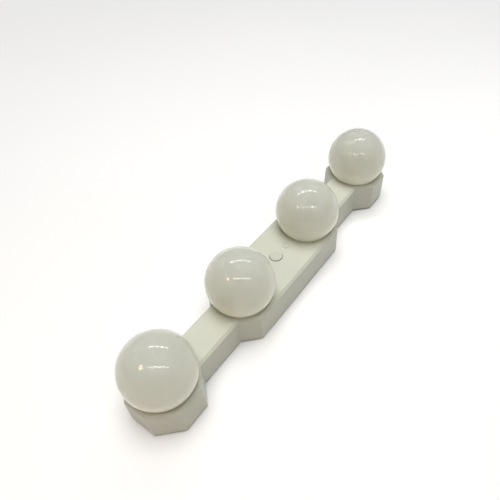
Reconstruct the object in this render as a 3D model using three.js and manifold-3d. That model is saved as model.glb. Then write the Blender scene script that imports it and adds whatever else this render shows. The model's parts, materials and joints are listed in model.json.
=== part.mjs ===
// Battery vanity light bar: four frosted globes on a slim faceted housing.
// Frame: millimetres, +Z up, lying on its back. X runs along the bar, Y across it, and z = 0 is
// the wall or mirror face that the two mounting pads touch. The origin is the middle of that face.
import * as THREE from 'three';
import { mergeVertices } from 'three/addons/utils/BufferGeometryUtils.js';
import Module from 'manifold-3d';

const wasm = await Module();
wasm.setup();

// ---------------------------------------------------------------- driving dimensions (mm)
const clearance = 0.3;            // between pieces that touch or fit into each other

// housing
const podWidth = 50;              // end pods and centre body, across the long flats
const podCorner = 14.7;           // length that each 45 degree corner takes off a pod
const podLength = 50;             // end pod, along the bar
const podCentre = 127;            // end pod centres, from the middle
const barWidth = 26.6;            // narrow bars between the pods
const centreLength = 136;         // centre body, end to end
const housingHeight = 25.5;
const draft = 0.5;                // lean of the side walls over the full height
const chamfer = 1.9;              // bevel round the top edge
const wall = 2;
const topWall = 2;

// globes
const globeRadius = 25.2;
const globeInner = 44;            // inner globe centres, from the middle
const neckRadius = 20.9;          // where a globe meets the housing
const globeWall = 1.5;
const seatDepth = 1;              // groove that a globe's rim drops into
const ledBoardGap = 3.4;          // between a light board and the neck round it
const ledBoardThickness = 1.2;
const ledSize = 5;
const ledHeight = 1.6;
const globeSides = 24;            // facets round the globes, their seats and the button
const wireHole = 2.5;             // radius

// back plate and fasteners
const padThickness = 1;
const padLength = 34;
const padWidth = 20;
const plateThickness = 2.4;
const screwHead = 2.6;            // radius
const screwHeadHeight = 1.8;
const screwShank = 1.2;           // radius
const screwLength = 9;            // below the head
const screwSeat = 1.7;            // plate under a head
const headWall = 1.2;
const bossWall = 1.7;
const padToBoss = 1.1;
const bayToBoss = 1.7;

// batteries and their bay
const cellRadius = 7.1;
const cellLength = 50.5;          // with its nub
const nubRadius = 2.75;
const nubLength = 1.3;
const rowGap = 1.6;               // between the two rows of cells
const rowToWall = 0.5;
const bayWall = 1.2;
const bayCeiling = 1;
const contactThickness = 0.5;
const contactSize = 9;
const springWire = 0.4;           // radius
const springTurns = 3;
const springLength = 5.2;         // fitted
const dividerThickness = 0.9;

// battery door
const doorThickness = 1.9;
const doorLedgeX = 1;             // how far the door laps the bay walls
const doorLedgeY = 0.8;
const doorLiftOff = 0.3;          // door to ledge
const hookWidth = 4;
const hookReach = 1.2;
const latchWidth = 10;

// power button and switch
const buttonRadius = 5;
const buttonProud = 0.8;
const buttonTravel = 1;
const flangeWidth = 1.6;
const flangeThickness = 1.1;
const flangeRecess = 0.8;         // cut into the top wall above the flange
const boardThickness = 0.8;
const boardLength = 24;
const boardWidth = 16;
const switchSize = 6.2;
const switchFloor = 0.3;
const plungerRadius = 1.6;
const iconX = 13.5;               // power icon beside the button
const iconRadius = 3;
const iconLine = 0.6;
const engraving = 0.3;

// wires
const leadRadius = 0.9;           // two-core lead to each globe
const batteryLeadRadius = 0.7;

// ---------------------------------------------------------------- levels and places from them
const zBack = padThickness + clearance;
const zTop = zBack + housingHeight;
const zCeiling = zTop - topWall;                       // underside of the top wall
const zPlate = zBack + plateThickness;                 // inside face of the back plate
const zDoor = zBack + doorThickness;                   // inside face of the door
const zLedge = zDoor + doorLiftOff;
const zCell = zLedge + clearance + cellRadius;         // cell axes
const zBayTop = zCell + cellRadius + clearance;        // underside of the bay's ceiling
const zBoard = zBayTop + bayCeiling + clearance;
const zSwitch = zBoard + boardThickness + clearance;
const zFlangeTop = zCeiling + flangeRecess - clearance;
const zFlange = zFlangeTop - flangeThickness;
const zSwitchTop = zFlange - buttonTravel - clearance;
const zPlunger = zSwitch + switchFloor + buttonTravel + clearance / 2;
const zGlobe = zTop + Math.sqrt(globeRadius ** 2 - neckRadius ** 2);
const zRim = zTop - seatDepth + clearance;

const rowOffset = cellRadius + rowGap / 2;             // cell axis, from the centre line
const bayWidth = 2 * (rowOffset + cellRadius + rowToWall);
const plateRoom = contactThickness + 2 * clearance;    // a contact plate and its two gaps
const bayHalf = (2 * cellLength + springLength + 2 * plateRoom + 2 * clearance) / 2;
const globePlaces = [-podCentre, -globeInner, globeInner, podCentre];
const screwHole = screwShank + clearance;
const headHole = screwHead + clearance;
const headBoss = headHole + headWall;
const bossRadius = screwHole + bossWall;
const headSeat = zBack + clearance + screwHeadHeight;  // face that the head pulls against
const plateBossTop = headSeat + clearance + screwSeat;
const podScrewY = padWidth / 2 + clearance + padToBoss + headBoss;
const waistScrewX = bayHalf + bayWall + bayToBoss + headBoss;
const screwPlaces = [
  [-podCentre, -podScrewY], [-podCentre, podScrewY], [-waistScrewX, 0],
  [waistScrewX, 0], [podCentre, -podScrewY], [podCentre, podScrewY],
];

// ---------------------------------------------------------------- materials
const material = (color, roughness, metalness = 0, more = {}) =>
  new THREE.MeshStandardMaterial({ color, roughness, metalness, ...more });
const materials = {
  housing: () => material(0xe4e4d2, 0.42),
  globe: () => material(0xece9dc, 0.16),
  cap: () => material(0xdedecb, 0.38),
  steel: () => material(0xb9bcc0, 0.32, 1),
  cell: () => material(0x3c4a57, 0.35, 0.2),
  board: () => material(0x2f6a4a, 0.5),
  led: () => material(0xf2e6a8, 0.3),
  black: () => material(0x222426, 0.5),
  foam: () => material(0x3a3a3c, 0.95),
  redWire: () => material(0xa32622, 0.5),
  blackWire: () => material(0x1d1e20, 0.5),
};

// ---------------------------------------------------------------- solids
function solid(geometry) {
  const bare = geometry.index ? geometry.toNonIndexed() : geometry.clone();
  bare.deleteAttribute('normal');
  bare.deleteAttribute('uv');
  const merged = mergeVertices(bare, 1e-4);
  return new wasm.Manifold(new wasm.Mesh({
    numProp: 3,
    vertProperties: new Float32Array(merged.attributes.position.array),
    triVerts: new Uint32Array(merged.index.array),
  }));
}

function geometryOf(manifold) {
  const mesh = manifold.getMesh();
  const geometry = new THREE.BufferGeometry();
  geometry.setAttribute('position', new THREE.BufferAttribute(mesh.vertProperties, 3));
  geometry.setIndex(new THREE.BufferAttribute(mesh.triVerts, 1));
  geometry.computeVertexNormals();
  return geometry;
}

const joined = (first, ...others) => others.reduce((whole, next) => whole.add(next), first);
const cut = (first, ...others) => others.reduce((whole, next) => whole.subtract(next), first);

function box(x0, x1, y0, y1, z0, z1) {
  const geometry = new THREE.BoxGeometry(x1 - x0, y1 - y0, z1 - z0);
  return solid(geometry.translate((x0 + x1) / 2, (y0 + y1) / 2, (z0 + z1) / 2));
}

function rod(radius, x, y, z0, z1, sides = 16) {
  const geometry = new THREE.CylinderGeometry(radius, radius, z1 - z0, sides);
  return solid(geometry.rotateX(Math.PI / 2).translate(x, y, (z0 + z1) / 2));
}

// Turns a profile of [radius, height] pairs round the Z axis.
function turned(profile, sides = globeSides) {
  const points = profile.map(([radius, height]) => new THREE.Vector2(radius, height));
  return new THREE.LatheGeometry(points, sides).rotateX(Math.PI / 2);
}

// Outline of the whole bar, seen from the front, moved in by `inset` all round.
function barOutline(inset) {
  const half = podWidth / 2 - inset;
  const corner = podCorner - (2 - Math.SQRT2) * inset;
  const bar = barWidth / 2 - inset;
  const slope = half - bar;                             // 45 degree run from flat to bar
  const pod = podLength / 2 - inset;
  const centre = centreLength / 2 - inset;
  const right = [
    [centre - corner, half], [centre - corner + slope, bar],
    [podCentre - pod + corner - slope, bar], [podCentre - pod + corner, half],
    [podCentre + pod - corner, half], [podCentre + pod, half - corner],
  ];
  const farSide = [...right, ...right.map(([x, y]) => [x, -y]).reverse()];
  const nearSide = farSide.map(([x, y]) => [-x, -y]);
  return new THREE.Shape([...farSide, ...nearSide].reverse().map((p) => new THREE.Vector2(...p)));
}

// Prism on an outline whose sides lean in by `lean` over its height, with a 45 degree bevel on top.
function draftedPrism(outline, z0, z1, lean, bevel) {
  const height = z1 - z0;
  const side = (thickness, size) => {
    const geometry = new THREE.ExtrudeGeometry(outline, {
      depth: height, bevelSegments: 1, bevelThickness: thickness,
      bevelSize: size, bevelOffset: -size,
    });
    return solid(geometry.translate(0, 0, z1 - height - thickness));
  };
  return side(height, lean).intersect(side(bevel + lean, bevel + lean))
    .intersect(box(-500, 500, -500, 500, z0, z1 + 1));
}

// Straight prism of an outline.
function prism(shape, z0, z1, curveSegments = 12) {
  const settings = { depth: z1 - z0, bevelEnabled: false, curveSegments };
  return solid(new THREE.ExtrudeGeometry(shape, settings).translate(0, 0, z0));
}

// Round wire along a smooth curve through the points.
function wire(points, radius, steps = 20) {
  const path = new THREE.CatmullRomCurve3(points.map((p) => new THREE.Vector3(...p)));
  return wireAlong(path, radius, steps);
}

function wireAlong(path, radius, steps) {
  const section = new THREE.Shape(Array.from({ length: 6 }, (_, i) => {
    const angle = i * Math.PI / 3;
    return new THREE.Vector2(radius * Math.cos(angle), radius * Math.sin(angle));
  }));
  return new THREE.ExtrudeGeometry(section, { steps, bevelEnabled: false, extrudePath: path });
}

const lightBar = new THREE.Group();
lightBar.name = 'vanity_light_bar';

function place(name, shape, finish) {
  const geometry = shape.isBufferGeometry ? shape : geometryOf(shape);
  const mesh = new THREE.Mesh(geometry, finish());
  mesh.name = name;
  lightBar.add(mesh);
  return mesh;
}

// ---------------------------------------------------------------- front housing
function powerIcon() {
  const opening = Math.PI / 5;                          // half the gap in the ring
  const ring = new THREE.Shape();
  const top = Math.PI / 2;
  ring.absarc(0, 0, iconRadius, top + opening, top - opening + 2 * Math.PI, false);
  ring.absarc(0, 0, iconRadius - iconLine, top - opening + 2 * Math.PI, top + opening, true);
  const z0 = zTop - engraving;
  const bar = box(-iconLine / 2, iconLine / 2, 0.6, iconRadius + 0.5, z0, zTop + 1);
  return prism(ring, z0, zTop + 1, 12).add(bar).translate([iconX, 0, 0]);
}

function frontHousing() {
  const shell = cut(
    draftedPrism(barOutline(0), zBack, zTop, draft, chamfer),
    draftedPrism(barOutline(wall), zBack - 5, zCeiling, draft, chamfer),
  );
  const bosses = screwPlaces.map(([x, y]) =>
    rod(bossRadius, x, y, plateBossTop + clearance, zCeiling + topWall / 2));
  const pilots = screwPlaces.map(([x, y]) =>
    rod(screwHole, x, y, plateBossTop, headSeat + screwLength + 2));
  const seats = globePlaces.map((x) => {
    const outer = rod(neckRadius + clearance, x, 0, zTop - seatDepth, zTop + 1, globeSides);
    const inner = rod(neckRadius - globeWall - clearance, x, 0, zTop - 5, zTop + 5, globeSides);
    return outer.subtract(inner);
  });
  const wireHoles = globePlaces.map((x) => rod(wireHole, x, 0, zCeiling - 5, zTop + 1));
  const buttonHole = rod(buttonRadius + clearance, 0, 0, zCeiling - 1, zTop + 1, globeSides);
  const flangeRoom = rod(buttonRadius + flangeWidth + 2 * clearance, 0, 0,
    zCeiling - 1, zCeiling + flangeRecess, globeSides);
  return cut(joined(shell, ...bosses),
    ...pilots, ...seats, ...wireHoles, buttonHole, flangeRoom, powerIcon());
}
place('front_housing', frontHousing(), materials.housing);

// ---------------------------------------------------------------- back plate with battery bay
const doorway = { x: bayHalf + doorLedgeX, y: bayWidth / 2 + doorLedgeY };
const hinge = { x: -(doorway.x - clearance - doorThickness / 2), z: zBack + doorThickness / 2 };
const hookTop = zPlate + clearance + 0.7;
const hookTip = -(doorway.x + hookReach - clearance);
const latchTop = zLedge + 1.6;

function backPlate() {
  const plate = prism(barOutline(wall + clearance), zBack, zPlate);
  const bayOuter = box(-bayHalf - bayWall, bayHalf + bayWall, -bayWidth / 2 - bayWall,
    bayWidth / 2 + bayWall, zBack + 0.5, zBayTop + bayCeiling);
  const bosses = screwPlaces.map(([x, y]) =>
    rod(headBoss, x, y, zBack, plateBossTop));
  const bayInner = box(-bayHalf, bayHalf, -bayWidth / 2, bayWidth / 2, zBack - 1, zBayTop);
  const opening = box(-doorway.x, doorway.x, -doorway.y, doorway.y, zBack - 1, zLedge);
  const hookSlot = box(hookTip - 1, -bayHalf + 1, -hookWidth / 2 - clearance,
    hookWidth / 2 + clearance, zPlate, hookTop + 2);
  const hookLedge = box(-doorway.x, -bayHalf + 1, -hookWidth / 2 - clearance,
    hookWidth / 2 + clearance, zLedge - 1, zPlate + 0.1);
  const latchSlot = box(bayHalf - 1, doorway.x, -latchWidth / 2 - clearance,
    latchWidth / 2 + clearance, zLedge - 1, latchTop + clearance);
  const tagSlots = [-1, 1].map((side) => box(-bayHalf - 0.01, -bayHalf + 1.6,
    side * rowOffset - 2, side * rowOffset + 2, zBayTop - 1, zBayTop + bayCeiling + 1));
  const screws = screwPlaces.flatMap(([x, y]) => [
    rod(headHole, x, y, zBack - 1, headSeat + clearance),
    rod(screwHole, x, y, zBack, plateBossTop + 1),
  ]);
  const divider = box(-bayHalf + 6, bayHalf - 6, -dividerThickness / 2, dividerThickness / 2,
    zCell - 2, zBayTop + 0.1);
  return cut(joined(plate, bayOuter, ...bosses),
    bayInner, opening, hookSlot, hookLedge, latchSlot, ...tagSlots, ...screws).add(divider);
}
place('back_plate', backPlate(), materials.housing);

// ---------------------------------------------------------------- battery door
function batteryDoor() {
  const endX = doorway.x - clearance;
  const sideY = doorway.y - clearance;
  const half = doorThickness / 2;
  const profile = new THREE.Shape();                    // in X and Z, run across the door
  profile.moveTo(hinge.x, hinge.z - half);
  profile.lineTo(endX, zBack);
  profile.lineTo(endX, zDoor);
  profile.lineTo(hinge.x, zDoor);
  profile.absarc(hinge.x, hinge.z, half, Math.PI / 2, 3 * Math.PI / 2, false);
  const across = (shape, width) => {
    const settings = { depth: width, bevelEnabled: false, curveSegments: 8 };
    return solid(new THREE.ExtrudeGeometry(shape, settings)
      .rotateX(Math.PI / 2).translate(0, width / 2, 0));
  };
  const riser = hinge.x - 0.6;
  const hook = new THREE.Shape([
    [riser, zDoor - half], [riser + 1.1, zDoor - half], [riser + 1.1, hookTop],
    [hookTip, hookTop], [hookTip, hookTop - 0.7], [riser, hookTop - 0.7],
  ].map(([x, z]) => new THREE.Vector2(x, z)));
  const latch = box(endX - 0.9, endX, -latchWidth / 2, latchWidth / 2, zDoor - 0.5, latchTop);
  const gripX = endX - 14;
  const grips = [0, 2.4, 4.8].map((step) =>
    box(gripX + step, gripX + step + 1.2, -8, 8, zBack - 1, zBack + 0.6));
  return cut(joined(across(profile, 2 * sideY), across(hook, hookWidth), latch), ...grips);
}
place('battery_door', batteryDoor(), materials.housing);

// ---------------------------------------------------------------- batteries and contacts
const plateFar = bayHalf - clearance;                   // outer face of a contact plate
const plateNear = plateFar - contactThickness;
const nubEnd = plateNear - clearance;                   // tip of the nub next to a flat contact
const springStart = plateNear - clearance;
const springEnd = springStart - springLength;           // face of the last cell's base

function cell(tip, row, direction) {
  const shoulder = cellLength - nubLength;
  const geometry = turned([
    [0, 0], [cellRadius - 0.5, 0], [cellRadius, 0.5], [cellRadius, shoulder - 0.5],
    [cellRadius - 0.5, shoulder], [nubRadius, shoulder], [nubRadius, cellLength], [0, cellLength],
  ], 16);
  geometry.translate(0, 0, -cellLength).rotateY(direction * Math.PI / 2);
  return geometry.translate(tip, row, zCell);
}
[1, 2].forEach((order) => {
  const tip = nubEnd - (order - 1) * (cellLength + clearance);
  place(`battery_${order}`, cell(-tip, rowOffset, -1), materials.cell);
  place(`battery_${order + 2}`, cell(tip, -rowOffset, 1), materials.cell);
});

const contactZ = [zCell - contactSize / 2, zCell + contactSize / 2];
function terminal(row) {
  const plate = box(-plateFar, -plateNear, row - contactSize / 2, row + contactSize / 2,
    ...contactZ);
  const tag = box(-plateFar, -plateNear, row - 1.5, row + 1.5, zCell, zBoard + 1.2);
  return plate.add(tag);
}
place('terminal_positive', terminal(rowOffset), materials.steel);
place('terminal_negative', terminal(-rowOffset), materials.steel);
place('bridge_contact', box(plateNear, plateFar, -rowOffset - contactSize / 2,
  rowOffset + contactSize / 2, ...contactZ), materials.steel);

class ConeSpring extends THREE.Curve {
  constructor(start, end) {
    super();
    this.start = start;
    this.end = end;
  }

  getPoint(t, target = new THREE.Vector3()) {
    const angle = t * springTurns * 2 * Math.PI;
    const radius = THREE.MathUtils.lerp(4, 2.6, t);
    const x = THREE.MathUtils.lerp(this.start, this.end, t);
    return target.set(x, radius * Math.cos(angle), radius * Math.sin(angle));
  }
}
function contactSpring(side, row) {
  const start = side * (springStart - springWire);
  const end = side * (springEnd + springWire);
  return wireAlong(new ConeSpring(start, end), springWire, 12 * springTurns)
    .translate(0, row, zCell);
}
place('contact_spring_1', contactSpring(-1, -rowOffset), materials.steel);
place('contact_spring_2', contactSpring(1, rowOffset), materials.steel);

// ---------------------------------------------------------------- globes and their lights
function globe(x) {
  const shellProfile = (radius, neck, from, to, steps) => {
    const neckAngle = Math.asin(neck / radius);
    const angles = Array.from({ length: steps + 1 }, (_, i) =>
      THREE.MathUtils.lerp(from(neckAngle), to(neckAngle), i / steps));
    return angles.map((a) => [radius * Math.sin(a), zGlobe + radius * Math.cos(a)]);
  };
  const low = (neckAngle) => Math.PI - neckAngle;
  const pole = () => 0;
  const outer = shellProfile(globeRadius, neckRadius, low, pole, 10);
  const inner = shellProfile(globeRadius - globeWall, neckRadius - globeWall, pole, low, 6);
  outer[outer.length - 1][0] = 0;
  inner[0][0] = 0;
  const rimInner = neckRadius - globeWall;
  const profile = [[rimInner, zRim], [neckRadius, zRim], ...outer, ...inner, [rimInner, zRim]];
  return turned(profile).translate(x, 0, 0);
}
globePlaces.forEach((x, i) => {
  const zLedBoard = zTop + clearance;
  const zLed = zLedBoard + ledBoardThickness + clearance;
  place(`globe_${i + 1}`, globe(x), materials.globe);
  place(`led_board_${i + 1}`,
    rod(neckRadius - globeWall - ledBoardGap, x, 0, zLedBoard, zLedBoard + ledBoardThickness, globeSides), materials.board);
  place(`led_${i + 1}`, box(x - ledSize / 2, x + ledSize / 2, -ledSize / 2, ledSize / 2,
    zLed, zLed + ledHeight), materials.led);
});

// ---------------------------------------------------------------- button and switch
place('button_cap', turned([
  [0, zFlange], [buttonRadius + flangeWidth, zFlange], [buttonRadius + flangeWidth, zFlangeTop],
  [buttonRadius, zFlangeTop], [buttonRadius, zTop + buttonProud - 0.4],
  [buttonRadius - 0.4, zTop + buttonProud], [0, zTop + buttonProud],
]), materials.cap);
place('switch_plunger', rod(plungerRadius, 0, 0, zPlunger, zFlange - clearance, 16),
  materials.black);
place('switch_body', box(-switchSize / 2, switchSize / 2, -switchSize / 2, switchSize / 2,
  zSwitch, zSwitchTop).subtract(rod(plungerRadius + clearance, 0, 0,
  zSwitch + switchFloor, zSwitchTop + 1, 16)), materials.black);
place('switch_board', box(-boardLength / 2, boardLength / 2, -boardWidth / 2, boardWidth / 2,
  zBoard, zBoard + boardThickness), materials.board);

// ---------------------------------------------------------------- wires
const zLead = (zBoard + boardThickness + zCeiling) / 2;
const boardEdge = boardLength / 2 + clearance;
const leadEnd = zTop - clearance;
[-1, 1].forEach((side, i) => {
  const outer = [
    [side * boardEdge, 5, zLead], [side * (boardEdge + 16), 7, zLead],
    [side * waistScrewX, 7, zLead], [side * (podCentre - 25), 5, zLead],
    [side * (podCentre - 6), 1, zLead], [side * podCentre, 0, zCeiling], [side * podCentre, 0, leadEnd],
  ];
  const inner = [
    [side * boardEdge, -4, zLead], [side * (boardEdge + 12), -4, zLead],
    [side * (globeInner - 5), -1, zLead], [side * globeInner, 0, zCeiling],
    [side * globeInner, 0, leadEnd],
  ];
  const number = side < 0 ? [1, 2] : [4, 3];
  place(`globe_lead_${number[0]}`, wire(outer, leadRadius, 28), materials.blackWire);
  place(`globe_lead_${number[1]}`, wire(inner, leadRadius, 16), materials.blackWire);
  const row = -side * rowOffset;
  const name = i === 0 ? 'battery_lead_positive' : 'battery_lead_negative';
  const lane = -side * (boardWidth / 2 + clearance + 2 * batteryLeadRadius);
  place(name, wire([
    [-plateNear + clearance + 1, row, zBoard + 1], [-bayHalf + 12, lane, zBoard + 1.2],
    [-boardEdge, lane, zBoard + 1.2], [-boardEdge + 7, lane, zBoard + 1.2],
  ], batteryLeadRadius, 16), i === 0 ? materials.redWire : materials.blackWire);
});

// ---------------------------------------------------------------- screws and mounting pads
function screw(x, y) {
  const head = rod(screwHead, x, y, headSeat - screwHeadHeight, headSeat);
  const shank = rod(screwShank, x, y, headSeat - 0.5, headSeat + screwLength, 8);
  const slot = (w, d) => box(x - w, x + w, y - d, y + d, zBack, zBack + clearance + 0.8);
  return cut(head.add(shank), slot(1.5, 0.35), slot(0.35, 1.5));
}
screwPlaces.forEach(([x, y], i) => place(`screw_${i + 1}`, screw(x, y), materials.steel));
[-1, 1].forEach((side, i) => place(`mounting_pad_${i + 1}`,
  box(side * podCentre - padLength / 2, side * podCentre + padLength / 2,
    -padWidth / 2, padWidth / 2, 0, padThickness), materials.foam));

export default lightBar;
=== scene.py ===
# Looks of the battery vanity light bar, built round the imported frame.
# Metres, +Z up, X along the bar. The bar lies on its back on its two mounting pads.
import json
import math

import bmesh
import bpy
from mathutils import Matrix, Vector


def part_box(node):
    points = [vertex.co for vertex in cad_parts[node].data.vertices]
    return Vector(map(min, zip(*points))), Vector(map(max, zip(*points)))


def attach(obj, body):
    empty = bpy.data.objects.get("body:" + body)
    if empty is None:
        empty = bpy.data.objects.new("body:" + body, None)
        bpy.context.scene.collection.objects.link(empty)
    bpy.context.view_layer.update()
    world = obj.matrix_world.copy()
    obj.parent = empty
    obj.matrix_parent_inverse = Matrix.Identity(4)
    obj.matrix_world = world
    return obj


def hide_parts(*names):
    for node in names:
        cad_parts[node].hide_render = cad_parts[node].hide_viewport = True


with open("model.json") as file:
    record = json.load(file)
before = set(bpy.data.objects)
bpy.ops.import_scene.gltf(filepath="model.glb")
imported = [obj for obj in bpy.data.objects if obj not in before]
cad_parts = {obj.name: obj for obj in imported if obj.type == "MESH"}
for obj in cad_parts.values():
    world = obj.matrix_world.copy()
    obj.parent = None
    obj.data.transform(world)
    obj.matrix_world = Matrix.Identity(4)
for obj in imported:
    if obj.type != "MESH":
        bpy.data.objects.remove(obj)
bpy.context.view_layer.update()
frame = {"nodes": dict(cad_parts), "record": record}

MM = 0.001

# ------------------------------------------------------------------ sizes from the frame
housing_low, housing_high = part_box("front_housing")
globe_low, globe_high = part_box("globe_4")
cap_low, cap_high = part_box("button_cap")

Z_BACK = housing_low.z
Z_TOP = housing_high.z
POD_HALF = housing_high.y
POD_CENTRE = (globe_low.x + globe_high.x) / 2
POD_REACH = housing_high.x - POD_CENTRE
GLOBE_RADIUS = (globe_high.x - globe_low.x) / 2
GLOBE_Z = globe_high.z - GLOBE_RADIUS
RIM_Z = globe_low.z
FLANGE_RADIUS = (cap_high.x - cap_low.x) / 2

# ------------------------------------------------------------------ sizes shared with the CAD
CLEARANCE = 0.3 * MM
SEAT_GAP = 0.06 * MM             # round a globe's neck, as fine as a glued joint shows
POD_CORNER = 14.7 * MM
BAR_HALF = 13.3 * MM
CENTRE_HALF = 68 * MM
DRAFT = 0.5 * MM
CHAMFER = 1.9 * MM
WALL = 2 * MM
TOP_WALL = 2 * MM
SEAT_DEPTH = 1 * MM
NECK_RADIUS = 20.9 * MM
GLOBE_WALL = 1.5 * MM
WIRE_HOLE = 2.5 * MM
BUTTON_RADIUS = 5 * MM
FLANGE_RECESS = 0.8 * MM
BOSS_RADIUS = 3.2 * MM
PILOT_RADIUS = 1.5 * MM
BOSS_FOOT = 5.7 * MM
PILOT_END = 14.4 * MM
ICON_X = 13.5 * MM
ICON_RADIUS = 3 * MM
ICON_LINE = 0.6 * MM
ENGRAVING = 0.3 * MM
NUB_RADIUS = 2.75 * MM
NUB_LENGTH = 1.3 * MM

Z_CEILING = Z_TOP - TOP_WALL
GLOBE_NODES = [f"globe_{i}" for i in range(1, 5)]
CELL_NODES = [f"battery_{i}" for i in range(1, 5)]
SCREW_NODES = [f"screw_{i}" for i in range(1, 7)]

# ------------------------------------------------------------------ finish of the visible shapes
CORNER_ROUND = 0.9 * MM          # upright edges between the housing's faces
EDGE_ROUND = 0.7 * MM            # along the bevelled top edge
FINE_ROUND = 0.25 * MM           # small moulded edges
PAD_ROUND = 0.2 * MM
SCREW_ROUND = 0.12 * MM
CAP_ROUND = 0.55 * MM            # round the button's face
CELL_ROUND = 0.4 * MM
RIM_BEVEL = 0.2 * MM             # at the foot of a globe's neck
MOUTH_ROUND = 0.2 * MM           # at the mouth of the button's bore
MOUTH_ARC = 0.06 * MM            # from the mouth's sharp corner to the middle of its round
TOP_BORDER = 1 * MM              # plain strip inside the edge of the top and of the ceiling
BEVEL_LEAN = 0.93 * DRAFT        # inward lean of the wall at the foot of the bevel
FACE_DISH = 0.15 * MM            # hollow in the button's face
FACE_RINGS = 8
ICON_GAP = math.pi / 5           # half of the gap in the power sign's ring
ICON_STEPS = 28
ICON_BAR_FOOT = 0.6 * MM         # the sign's bar starts this far from its centre
ICON_BAR_RISE = 0.5 * MM         # and ends this far outside the ring
CELL_PLATE = 0.8                 # end plate of a cell, as a share of its radius
CELL_LIP = 0.86                  # inside of the sleeve's lip, as a share of the radius
CELL_LIP_DEPTH = 0.25 * MM

CIRCLE_STEPS = 96
FINE_CIRCLE_STEPS = 64           # button and cells
BALL_STEPS = 60                  # up the outside of a globe
BALL_INSIDE_STEPS = 28
SHARP = 35                       # degrees: a sharper fold is shaded as an edge
CAP_SHARP = 50
CAD_SHARP = 25
BEVEL_FROM = 28                  # degrees: the least fold that softened() rounds
WELD = 1e-7                      # metres: points closer than this are one
CAD_WELD = 1e-6


def centre(node):
    low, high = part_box(node)
    return (low + high) / 2


# ------------------------------------------------------------------ outlines and profiles
def rounded(points, radius, steps=5, closed=False):
    """The polyline with each corner turned into an arc; radius may be a list, one per point."""
    nearly_straight = math.radians(89.5)
    usable = 0.48                # share of each neighbouring edge that an arc may take
    points = [Vector(p) for p in points]
    count = len(points)
    radii = radius if isinstance(radius, (list, tuple)) else [radius] * count
    result = []
    for i, point in enumerate(points):
        if not closed and i in (0, count - 1):
            result.append(point)
            continue
        back = points[i - 1] - point
        ahead = points[(i + 1) % count] - point
        half = back.angle(ahead) / 2
        if half > nearly_straight or radii[i] <= 0:
            result.append(point)
            continue
        reach = min(radii[i] / math.tan(half), usable * back.length, usable * ahead.length)
        arc_radius = reach * math.tan(half)
        middle = point + (back.normalized() + ahead.normalized()).normalized() * (
            arc_radius / math.sin(half))
        start = point + back.normalized() * reach - middle
        end = point + ahead.normalized() * reach - middle
        turn = start.angle_signed(end)
        for k in range(steps + 1):
            result.append(middle + Matrix.Rotation(-turn * k / steps, 2) @ start)
    return result


def bar_outline(inset):
    """Outline of the whole bar moved in by inset, counter-clockwise, upright edges rounded."""
    half = POD_HALF - inset
    corner = POD_CORNER - (2 - math.sqrt(2)) * inset
    bar = BAR_HALF - inset
    slope = half - bar
    pod = POD_REACH - inset
    middle = CENTRE_HALF - inset
    upper = [
        (middle - corner, half), (middle - corner + slope, bar),
        (POD_CENTRE - pod + corner - slope, bar), (POD_CENTRE - pod + corner, half),
        (POD_CENTRE + pod - corner, half), (POD_CENTRE + pod, half - corner),
    ]
    right = upper + [(x, -y) for x, y in reversed(upper)]
    left = [(-x, -y) for x, y in right]
    return rounded(list(reversed(right + left)), CORNER_ROUND, steps=4, closed=True)


def circle(x, y, radius, steps=CIRCLE_STEPS):
    angles = [2 * math.pi * i / steps for i in range(steps)]
    return [Vector((x + radius * math.cos(a), y + radius * math.sin(a))) for a in angles]


# ------------------------------------------------------------------ mesh building
def add_ring(bm, outline, z):
    return [bm.verts.new((p[0], p[1], z)) for p in outline]


def bridge(bm, ring_a, ring_b):
    count = len(ring_a)
    for i in range(count):
        j = (i + 1) % count
        bm.faces.new((ring_a[i], ring_a[j], ring_b[j], ring_b[i]))


def sweep(bm, outlines):
    """Joins (outline, z) pairs into one wall and returns its first and last rings."""
    rings = [add_ring(bm, outline, z) for outline, z in outlines]
    for ring_a, ring_b in zip(rings, rings[1:]):
        bridge(bm, ring_a, ring_b)
    return rings[0], rings[-1]


def fill(bm, rings):
    """Flat face bounded by the rings: the first is its edge, the others are holes in it."""
    edges = []
    for ring in rings:
        for a, b in zip(ring, ring[1:] + ring[:1]):
            edges.append(bm.edges.get((a, b)) or bm.edges.new((a, b)))
    bmesh.ops.triangle_fill(bm, use_beauty=True, use_dissolve=False, edges=edges)


def well(bm, x, y, profile):
    """Round wall at (x, y) through (radius, z) points; returns its first and last rings."""
    return sweep(bm, [(circle(x, y, radius), z) for radius, z in profile])


def recess(bm, outline, z, depth):
    """Engraved shape with a flat floor; returns its edge in the surface."""
    top, floor = sweep(bm, [(outline, z), (outline, z - depth)])
    fill(bm, [floor])
    return top


def finish_mesh(bm, name, sharp=SHARP):
    bmesh.ops.recalc_face_normals(bm, faces=bm.faces)
    mesh = bpy.data.meshes.new(name)
    bm.to_mesh(mesh)
    bm.free()
    mesh.shade_smooth()
    mesh.set_sharp_from_angle(angle=math.radians(sharp))
    piece = bpy.data.objects.new(name, mesh)
    bpy.context.scene.collection.objects.link(piece)
    return piece


def weigh_normals(piece):
    modifier = piece.modifiers.new("weighted normals", "WEIGHTED_NORMAL")
    modifier.keep_sharp = True


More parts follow.
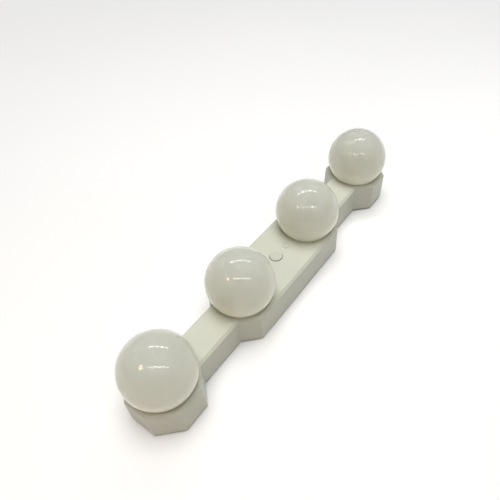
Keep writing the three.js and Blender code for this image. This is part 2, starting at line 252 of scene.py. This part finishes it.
def turned(name, profile, steps=CIRCLE_STEPS, place=Matrix.Identity(4), sharp=SHARP):
    """Solid of revolution about Z through (radius, z) points, then moved by place.

    A solid's profile starts and ends on the axis. A shell's crosses it twice in a row and ends on
    its own first point.
    """
    bm = bmesh.new()
    rings = []
    for radius, z in profile:
        if radius < WELD:
            rings.append([bm.verts.new((0, 0, z))])
        else:
            rings.append(add_ring(bm, circle(0, 0, radius, steps), z))
    for a, b in zip(rings, rings[1:]):
        if len(a) == 1 and len(b) == 1:
            continue
        if len(a) == 1 or len(b) == 1:
            tip, ring = (a[0], b) if len(a) == 1 else (b[0], a)
            for i in range(steps):
                bm.faces.new((tip, ring[i], ring[(i + 1) % steps]))
        else:
            bridge(bm, a, b)
    bmesh.ops.remove_doubles(bm, verts=bm.verts, dist=WELD)
    bmesh.ops.transform(bm, matrix=place, verts=bm.verts)
    return finish_mesh(bm, name, sharp)


def softened(name, node, width):
    """Copy of a CAD node with its sharp edges rounded."""
    bm = bmesh.new()
    bm.from_mesh(frame["nodes"][node].data)
    bmesh.ops.remove_doubles(bm, verts=bm.verts, dist=CAD_WELD)
    bmesh.ops.dissolve_limit(bm, angle_limit=math.radians(1), verts=bm.verts, edges=bm.edges)
    piece = finish_mesh(bm, name, CAD_SHARP)
    bevel = piece.modifiers.new("rounded edges", "BEVEL")
    bevel.width = width
    bevel.segments = 2
    bevel.limit_method = "ANGLE"
    bevel.angle_limit = math.radians(BEVEL_FROM)
    weigh_normals(piece)
    return piece


def stands_for(piece, node, body, slot):
    piece.data.materials.clear()
    piece.data.materials.append(materials[slot])
    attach(piece, body)
    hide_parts(node)


# ------------------------------------------------------------------ materials
# Colours are linear. Noise scales are in cells per metre, and bump distances in metres.
def new_material(name):
    material = bpy.data.materials.new(name)
    material.use_nodes = True
    return material, material.node_tree, material.node_tree.nodes["Principled BSDF"]


def object_coords(tree):
    return tree.nodes.new("ShaderNodeTexCoord").outputs["Object"]


def object_noise(tree, scale, detail=3.0, stretch=(1, 1, 1)):
    mapping = tree.nodes.new("ShaderNodeMapping")
    mapping.inputs["Scale"].default_value = stretch
    noise = tree.nodes.new("ShaderNodeTexNoise")
    noise.inputs["Scale"].default_value = scale
    noise.inputs["Detail"].default_value = detail
    tree.links.new(object_coords(tree), mapping.inputs["Vector"])
    tree.links.new(mapping.outputs["Vector"], noise.inputs["Vector"])
    return noise.outputs["Fac"]


def paint(tree, shader, source, stops):
    """Base colour along the (position, colour) stops, as source goes from 0 to 1."""
    node = tree.nodes.new("ShaderNodeValToRGB")
    elements = node.color_ramp.elements
    while len(elements) < len(stops):
        elements.new(0.5)
    for element, (position, colour) in zip(elements, stops):
        element.position = position
        element.color = (*colour, 1)
    tree.links.new(source, node.inputs["Fac"])
    tree.links.new(node.outputs["Color"], shader.inputs["Base Color"])


def drift(tree, shader, source, dark, light):
    """Base colour that wanders between two tones with a noise."""
    paint(tree, shader, source, [(0.3, dark), (0.7, light)])


def drive(tree, shader, name, source, low, high):
    """Shader input name goes from low to high, as source goes from 0 to 1."""
    node = tree.nodes.new("ShaderNodeMapRange")
    node.inputs["To Min"].default_value = low
    node.inputs["To Max"].default_value = high
    tree.links.new(source, node.inputs["Value"])
    tree.links.new(node.outputs["Result"], shader.inputs[name])


def bump(tree, shader, source, strength, distance):
    node = tree.nodes.new("ShaderNodeBump")
    node.inputs["Strength"].default_value = strength
    node.inputs["Distance"].default_value = distance
    tree.links.new(source, node.inputs["Height"])
    tree.links.new(node.outputs["Normal"], shader.inputs["Normal"])


def moulded_plastic(name, light, dark, roughness):
    """Injection moulded plastic: faint tone drift, uneven gloss, fine spark texture."""
    material, tree, shader = new_material(name)
    drift(tree, shader, object_noise(tree, scale=22), dark, light)
    drive(tree, shader, "Roughness", object_noise(tree, scale=140),
          roughness - 0.05, roughness + 0.06)
    bump(tree, shader, object_noise(tree, scale=2600, detail=2), strength=0.12, distance=0.06 * MM)
    shader.inputs["Specular IOR Level"].default_value = 0.25
    shader.inputs["Subsurface Weight"].default_value = 0.08
    shader.inputs["Subsurface Radius"].default_value = (0.003, 0.0025, 0.002)
    shader.inputs["Subsurface Scale"].default_value = 1.0
    return material


def milky_globe():
    """Frosted white shell with a polished outside. Light that bounces about inside the shell
    leaves it lowest down, where the housing shades it; a painted glow stands for that, and the
    base colour is painted lighter and warmer towards the bottom for the same light."""
    material, tree, shader = new_material("milky_globe")
    split = tree.nodes.new("ShaderNodeSeparateXYZ")
    tree.links.new(object_coords(tree), split.inputs["Vector"])
    height = tree.nodes.new("ShaderNodeMapRange")
    height.inputs["From Min"].default_value = Z_TOP
    height.inputs["From Max"].default_value = GLOBE_Z + GLOBE_RADIUS
    tree.links.new(split.outputs["Z"], height.inputs["Value"])
    # painted light: the base colour is lighter and warmer towards the bottom, for light scattered
    # through the shell
    paint(tree, shader, height.outputs["Result"],
          [(0.0, (0.54, 0.53, 0.40)), (0.45, (0.51, 0.51, 0.41)), (1.0, (0.50, 0.515, 0.44))])
    drive(tree, shader, "Roughness", object_noise(tree, scale=60), 0.08, 0.11)
    # painted glow: emission strongest at the bottom stands for light scattered inside the shell,
    # though the lamp is off
    drive(tree, shader, "Emission Strength", height.outputs["Result"], 0.15, 0.03)
    bump(tree, shader, object_noise(tree, scale=40, detail=1), strength=0.02, distance=0.2 * MM)
    shader.inputs["Subsurface Weight"].default_value = 1.0
    shader.inputs["Subsurface Radius"].default_value = (0.012, 0.012, 0.010)
    shader.inputs["Subsurface Scale"].default_value = 1.0
    shader.inputs["Emission Color"].default_value = (1, 0.98, 0.78, 1)
    return material


def metal(name, light, dark, roughness):
    """Plated metal with fine streaks in its tone, gloss and surface."""
    material, tree, shader = new_material(name)
    streaks = object_noise(tree, scale=300, stretch=(1, 6, 1))
    drift(tree, shader, streaks, dark, light)
    drive(tree, shader, "Roughness", streaks, roughness - 0.06, roughness + 0.1)
    bump(tree, shader, streaks, strength=0.08, distance=0.05 * MM)
    shader.inputs["Metallic"].default_value = 1.0
    return material


def cell_sleeve():
    """Battery sleeve: dark glossy film with a faint drift of tone."""
    material, tree, shader = new_material("cell_sleeve")
    tone = object_noise(tree, scale=120)
    drift(tree, shader, tone, (0.035, 0.042, 0.05), (0.06, 0.07, 0.085))
    drive(tree, shader, "Roughness", tone, 0.24, 0.36)
    shader.inputs["Coat Weight"].default_value = 0.4
    return material


def foam():
    """Dark foam with open cells."""
    material, tree, shader = new_material("foam")
    cells = tree.nodes.new("ShaderNodeTexVoronoi")
    cells.inputs["Scale"].default_value = 1500
    tree.links.new(object_coords(tree), cells.inputs["Vector"])
    paint(tree, shader, cells.outputs["Distance"],
          [(0.0, (0.03, 0.03, 0.033)), (0.8, (0.09, 0.09, 0.095))])
    bump(tree, shader, cells.outputs["Distance"], strength=0.5, distance=0.2 * MM)
    shader.inputs["Roughness"].default_value = 0.95
    return material


def pale_floor():
    material, tree, shader = new_material("pale_floor")
    drift(tree, shader, object_noise(tree, scale=3), (0.76, 0.76, 0.76), (0.78, 0.78, 0.78))
    shader.inputs["Roughness"].default_value = 0.9
    shader.inputs["Specular IOR Level"].default_value = 0
    return material


materials = {
    "housing": moulded_plastic("ivory_housing", (0.50, 0.51, 0.435), (0.475, 0.485, 0.41), 0.38),
    "cap": moulded_plastic("ivory_cap", (0.47, 0.48, 0.40), (0.45, 0.46, 0.38), 0.34),
    "globe": milky_globe(),
    "contact": metal("nickel_contact", (0.72, 0.71, 0.68), (0.60, 0.59, 0.56), 0.28),
    "screw": metal("zinc_screw", (0.62, 0.63, 0.64), (0.50, 0.51, 0.52), 0.32),
    "cell": cell_sleeve(),
    "board": moulded_plastic("solder_mask", (0.05, 0.22, 0.11), (0.035, 0.17, 0.08), 0.4),
    "led": moulded_plastic("led_phosphor", (0.88, 0.80, 0.38), (0.82, 0.72, 0.30), 0.35),
    "switch": moulded_plastic("switch_black", (0.022, 0.022, 0.024), (0.015, 0.015, 0.017), 0.45),
    "foam": foam(),
    "red_wire": moulded_plastic("red_insulation", (0.45, 0.03, 0.025), (0.38, 0.02, 0.02), 0.45),
    "black_wire": moulded_plastic("black_insulation", (0.02, 0.02, 0.022), (0.014, 0.014, 0.016),
                                  0.45),
}


def finish_cad_nodes():
    for subpart in frame["record"]["subparts"]:
        mesh = frame["nodes"][subpart["node"]].data
        if not mesh.materials:
            mesh.materials.append(None)
        for i in range(len(mesh.materials)):
            mesh.materials[i] = materials[subpart["material_slot"]]


# ------------------------------------------------------------------ front housing
def power_icon():
    """Outlines of the generic power sign: an open ring and a bar in its gap."""
    sweep_angle = 2 * math.pi - 2 * ICON_GAP
    turn = [math.pi / 2 + ICON_GAP + sweep_angle * i / ICON_STEPS for i in range(ICON_STEPS + 1)]
    outer, inner = ICON_RADIUS, ICON_RADIUS - ICON_LINE
    ring = [(ICON_X + outer * math.cos(a), outer * math.sin(a)) for a in turn]
    ring += [(ICON_X + inner * math.cos(a), inner * math.sin(a)) for a in reversed(turn)]
    half, low, high = ICON_LINE / 2, ICON_BAR_FOOT, ICON_RADIUS + ICON_BAR_RISE
    bar = [(ICON_X - half, low), (ICON_X + half, low), (ICON_X + half, high),
           (ICON_X - half, high)]
    return [ring, bar]


def housing_profile():
    """(inset, z) from the ceiling's edge, down the inside, and up the outside to the top."""
    top_inset = DRAFT + CHAMFER
    return rounded([
        (WALL + top_inset + TOP_BORDER, Z_CEILING), (WALL + top_inset, Z_CEILING),
        (WALL + BEVEL_LEAN, Z_CEILING - CHAMFER), (WALL, Z_BACK), (0, Z_BACK),
        (BEVEL_LEAN, Z_TOP - CHAMFER), (top_inset, Z_TOP), (top_inset + TOP_BORDER, Z_TOP),
    ], [0, FINE_ROUND, FINE_ROUND, FINE_ROUND, FINE_ROUND, EDGE_ROUND, EDGE_ROUND, 0], steps=3)


def globe_seat(bm, x):
    """Ring groove for a globe's neck, with the wire hole in its middle."""
    outer = NECK_RADIUS + SEAT_GAP
    inner = NECK_RADIUS - GLOBE_WALL - CLEARANCE
    floor = Z_TOP - SEAT_DEPTH
    return well(bm, x, 0, [
        (outer, Z_TOP), (outer, floor), (inner, floor), (inner, Z_TOP),
        (WIRE_HOLE, Z_TOP), (WIRE_HOLE, Z_CEILING)])


def button_bore(bm):
    """Bore for the button, wider below for its flange."""
    bore = BUTTON_RADIUS + CLEARANCE
    flange_room = FLANGE_RADIUS + CLEARANCE
    flange_z = Z_CEILING + FLANGE_RECESS
    return well(bm, 0, 0, [
        (bore + MOUTH_ROUND, Z_TOP), (bore + MOUTH_ARC, Z_TOP - MOUTH_ARC),
        (bore, Z_TOP - MOUTH_ROUND), (bore, flange_z), (flange_room, flange_z),
        (flange_room, Z_CEILING)])


def screw_boss(bm, x, y):
    """Boss under the ceiling with a blind pilot hole; returns its edge in the ceiling."""
    edge, end = well(bm, x, y, [
        (BOSS_RADIUS, Z_CEILING), (BOSS_RADIUS, BOSS_FOOT), (PILOT_RADIUS, BOSS_FOOT),
        (PILOT_RADIUS, PILOT_END)])
    fill(bm, [end])
    return edge


def build_housing():
    bm = bmesh.new()
    ceiling, top = sweep(bm, [(bar_outline(inset), z) for inset, z in housing_profile()])
    top_holes = [recess(bm, outline, Z_TOP, ENGRAVING) for outline in power_icon()]
    through = [globe_seat(bm, centre(node).x) for node in GLOBE_NODES] + [button_bore(bm)]
    top_holes += [edge for edge, end in through]
    ceiling_holes = [end for edge, end in through]
    ceiling_holes += [screw_boss(bm, *centre(node).xy) for node in SCREW_NODES]
    fill(bm, [top] + top_holes)
    fill(bm, [ceiling] + ceiling_holes)
    piece = finish_mesh(bm, "housing_shell")
    weigh_normals(piece)
    stands_for(piece, "front_housing", "bar", "housing")


# ------------------------------------------------------------------ globes, button, cells
def globe_profile():
    """(radius, z) from the rim's inside, up the neck, over the ball, and back down the inside."""
    def ball(radius, start, steps):
        angles = [start + (math.pi - start) * k / steps for k in range(steps + 1)]
        return [(radius * math.sin(a), GLOBE_Z - radius * math.cos(a)) for a in angles]

    rim_inner = NECK_RADIUS - GLOBE_WALL
    inside = GLOBE_RADIUS - GLOBE_WALL
    outer = ball(GLOBE_RADIUS, math.asin(NECK_RADIUS / GLOBE_RADIUS), BALL_STEPS)
    inner = ball(inside, math.asin(rim_inner / inside), BALL_INSIDE_STEPS)
    foot = [(rim_inner, RIM_Z), (NECK_RADIUS - RIM_BEVEL, RIM_Z),
            (NECK_RADIUS, RIM_Z + RIM_BEVEL)]
    return foot + outer + inner[::-1] + foot[:1]


def build_globes():
    for i, node in enumerate(GLOBE_NODES, 1):
        place = Matrix.Translation((centre(node).x, 0, 0))
        piece = turned(f"globe_shell_{i}", globe_profile(), place=place)
        stands_for(piece, node, "bar", "globe")


def button_profile():
    """(radius, z) from the middle of the underside, round the flange, to the dished face."""
    flange_top = Z_CEILING + FLANGE_RECESS - CLEARANCE
    shares = [k / FACE_RINGS for k in range(1, FACE_RINGS)]
    face = [(BUTTON_RADIUS * (1 - s), cap_high.z - FACE_DISH * math.sin(math.pi / 2 * s))
            for s in shares] + [(0, cap_high.z - FACE_DISH)]
    side = rounded([
        (0, cap_low.z), (FLANGE_RADIUS, cap_low.z), (FLANGE_RADIUS, flange_top),
        (BUTTON_RADIUS, flange_top), (BUTTON_RADIUS, cap_high.z), face[0],
    ], [0, FINE_ROUND, FINE_ROUND, FINE_ROUND, CAP_ROUND, 0])
    return side + face[1:]


def build_button():
    piece = turned("button_top", button_profile(), steps=FINE_CIRCLE_STEPS, sharp=CAP_SHARP)
    stands_for(piece, "button_cap", "button", "cap")


def cell_profile(radius, length):
    """(radius, z) from the middle of the flat end to the middle of the nub."""
    shoulder = length - NUB_LENGTH
    return rounded([
        (0, 0), (radius * CELL_PLATE, 0), (radius * CELL_LIP, CELL_LIP_DEPTH),
        (radius, CELL_LIP_DEPTH), (radius, shoulder), (radius * CELL_PLATE, shoulder),
        (NUB_RADIUS, shoulder), (NUB_RADIUS, length), (0, length),
    ], CELL_ROUND, steps=4)


def build_cells():
    for i, node in enumerate(CELL_NODES, 1):
        low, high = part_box(node)
        row = (low.y + high.y) / 2
        towards = -1 if row > 0 else 1          # the nub's direction along X
        start = high.x if towards < 0 else low.x
        place = Matrix.Translation((start, row, (low.z + high.z) / 2)) @ Matrix.Rotation(
            towards * math.pi / 2, 4, "Y")
        piece = turned(f"aa_cell_{i}", cell_profile((high.z - low.z) / 2, high.x - low.x),
                       steps=FINE_CIRCLE_STEPS, place=place)
        stands_for(piece, node, "bar", "cell")


def build_small_parts():
    for node, body, slot, width in [
        ("back_plate", "bar", "housing", FINE_ROUND),
        ("battery_door", "door", "housing", FINE_ROUND),
        ("mounting_pad_1", "bar", "foam", PAD_ROUND),
        ("mounting_pad_2", "bar", "foam", PAD_ROUND),
    ]:
        stands_for(softened(f"{node}_visual", node, width), node, body, slot)
    for i, node in enumerate(SCREW_NODES, 1):
        stands_for(softened(f"screw_visual_{i}", node, SCREW_ROUND), node, "bar", "screw")


# ------------------------------------------------------------------ stage, lights, camera
FLOOR_HALF = 4                   # metres from its middle to an edge


def build_floor():
    bm = bmesh.new()
    bmesh.ops.create_grid(bm, x_segments=1, y_segments=1, size=FLOOR_HALF)
    mesh = bpy.data.meshes.new("floor")
    bm.to_mesh(mesh)
    bm.free()
    floor = bpy.data.objects.new("floor", mesh)
    bpy.context.scene.collection.objects.link(floor)
    mesh.materials.append(pale_floor())


def strip_light(name, start, end, width, radiance, colour, gloss=True):
    """Light panel from start to end, as wide as width, turned towards the bar."""
    start, end = Vector(start), Vector(end)
    length = (end - start).length
    light = bpy.data.lights.new(name, "AREA")
    light.shape = "RECTANGLE"
    light.size, light.size_y = length, width
    light.energy = radiance * math.pi * length * width
    light.color = colour
    lamp = bpy.data.objects.new(name, light)
    x_axis = (end - start).normalized()
    z_axis = ((start + end) / 2 - Vector((0, 0, GLOBE_Z))).normalized()
    z_axis = (z_axis - x_axis * z_axis.dot(x_axis)).normalized()
    turn = Matrix((x_axis, z_axis.cross(x_axis), z_axis)).transposed().to_4x4()
    lamp.matrix_world = Matrix.Translation((start + end) / 2) @ turn
    lamp.visible_glossy = gloss
    bpy.context.scene.collection.objects.link(lamp)


def overhead_light():
    """Wide soft light from above, which leaves no highlight of its own."""
    light = bpy.data.lights.new("overhead", "SUN")
    light.energy = 3.0
    light.angle = math.radians(42)
    lamp = bpy.data.objects.new("overhead", light)
    lamp.rotation_euler = (0, math.radians(4), 0)
    lamp.visible_glossy = False
    bpy.context.scene.collection.objects.link(lamp)


def dim_world():
    world = bpy.data.worlds.new("studio")
    bpy.context.scene.world = world
    world.use_nodes = True
    background = world.node_tree.nodes["Background"]
    background.inputs["Color"].default_value = (1, 1, 0.99, 1)
    background.inputs["Strength"].default_value = 0.07


def build_lights():
    """Two tubes and a warm lamp that show as highlights on the globes, and soft fills."""
    strip_light("far_tube", start=(0.342, -0.048, 0.462), end=(0.025, 0.280, 0.462),
                width=0.034, radiance=10, colour=(1, 1, 0.97))
    strip_light("near_tube", start=(-0.020, -0.390, 0.447), end=(-0.313, -0.013, 0.447),
                width=0.024, radiance=10.5, colour=(1, 1, 0.97))
    strip_light("warm_lamp", start=(-0.63, 0.16, 0.697), end=(-0.54, 0.25, 0.697),
                width=0.14, radiance=13, colour=(1, 0.72, 0.42))
    strip_light("warm_fill", start=(-0.52, -0.12, 0.10), end=(-0.30, -0.34, 0.10),
                width=0.12, radiance=1.0, colour=(1, 0.42, 0.12), gloss=False)
    strip_light("far_fill", start=(0.27, -0.34, 0.16), end=(0.45, -0.16, 0.16),
                width=0.16, radiance=0.8, colour=(1, 1, 0.9), gloss=False)
    overhead_light()
    dim_world()
    bpy.context.scene.view_settings.view_transform = "Standard"


CAMERA_PLACE = Vector((-191.7, -135.65, 293.2)) * MM
CAMERA_TARGET = Vector((-19.7, -4.2, 30)) * MM
CAMERA_ROLL = math.radians(-2.44)
CAMERA_LENS = 32.9
CAMERA_SHIFT = (-0.031, 0.0443)


def camera_axes():
    """Directions to the right of the view, up in it, and into it."""
    forward = (CAMERA_TARGET - CAMERA_PLACE).normalized()
    level = forward.cross(Vector((0, 0, 1))).normalized()
    upright = level.cross(forward)
    right = level * math.cos(CAMERA_ROLL) + upright * math.sin(CAMERA_ROLL)
    return right, right.cross(forward), forward


def build_camera():
    right, up, forward = camera_axes()
    data = bpy.data.cameras.new("camera")
    data.lens = CAMERA_LENS
    data.sensor_width = 36
    data.shift_x, data.shift_y = CAMERA_SHIFT
    data.clip_start = 0.01
    camera = bpy.data.objects.new("camera", data)
    turn = Matrix((right, up, -forward)).transposed().to_4x4()
    camera.matrix_world = Matrix.Translation(CAMERA_PLACE) @ turn
    bpy.context.scene.collection.objects.link(camera)
    bpy.context.scene.camera = camera


finish_cad_nodes()
build_housing()
build_globes()
build_button()
build_cells()
build_small_parts()
build_floor()
build_lights()
build_camera()
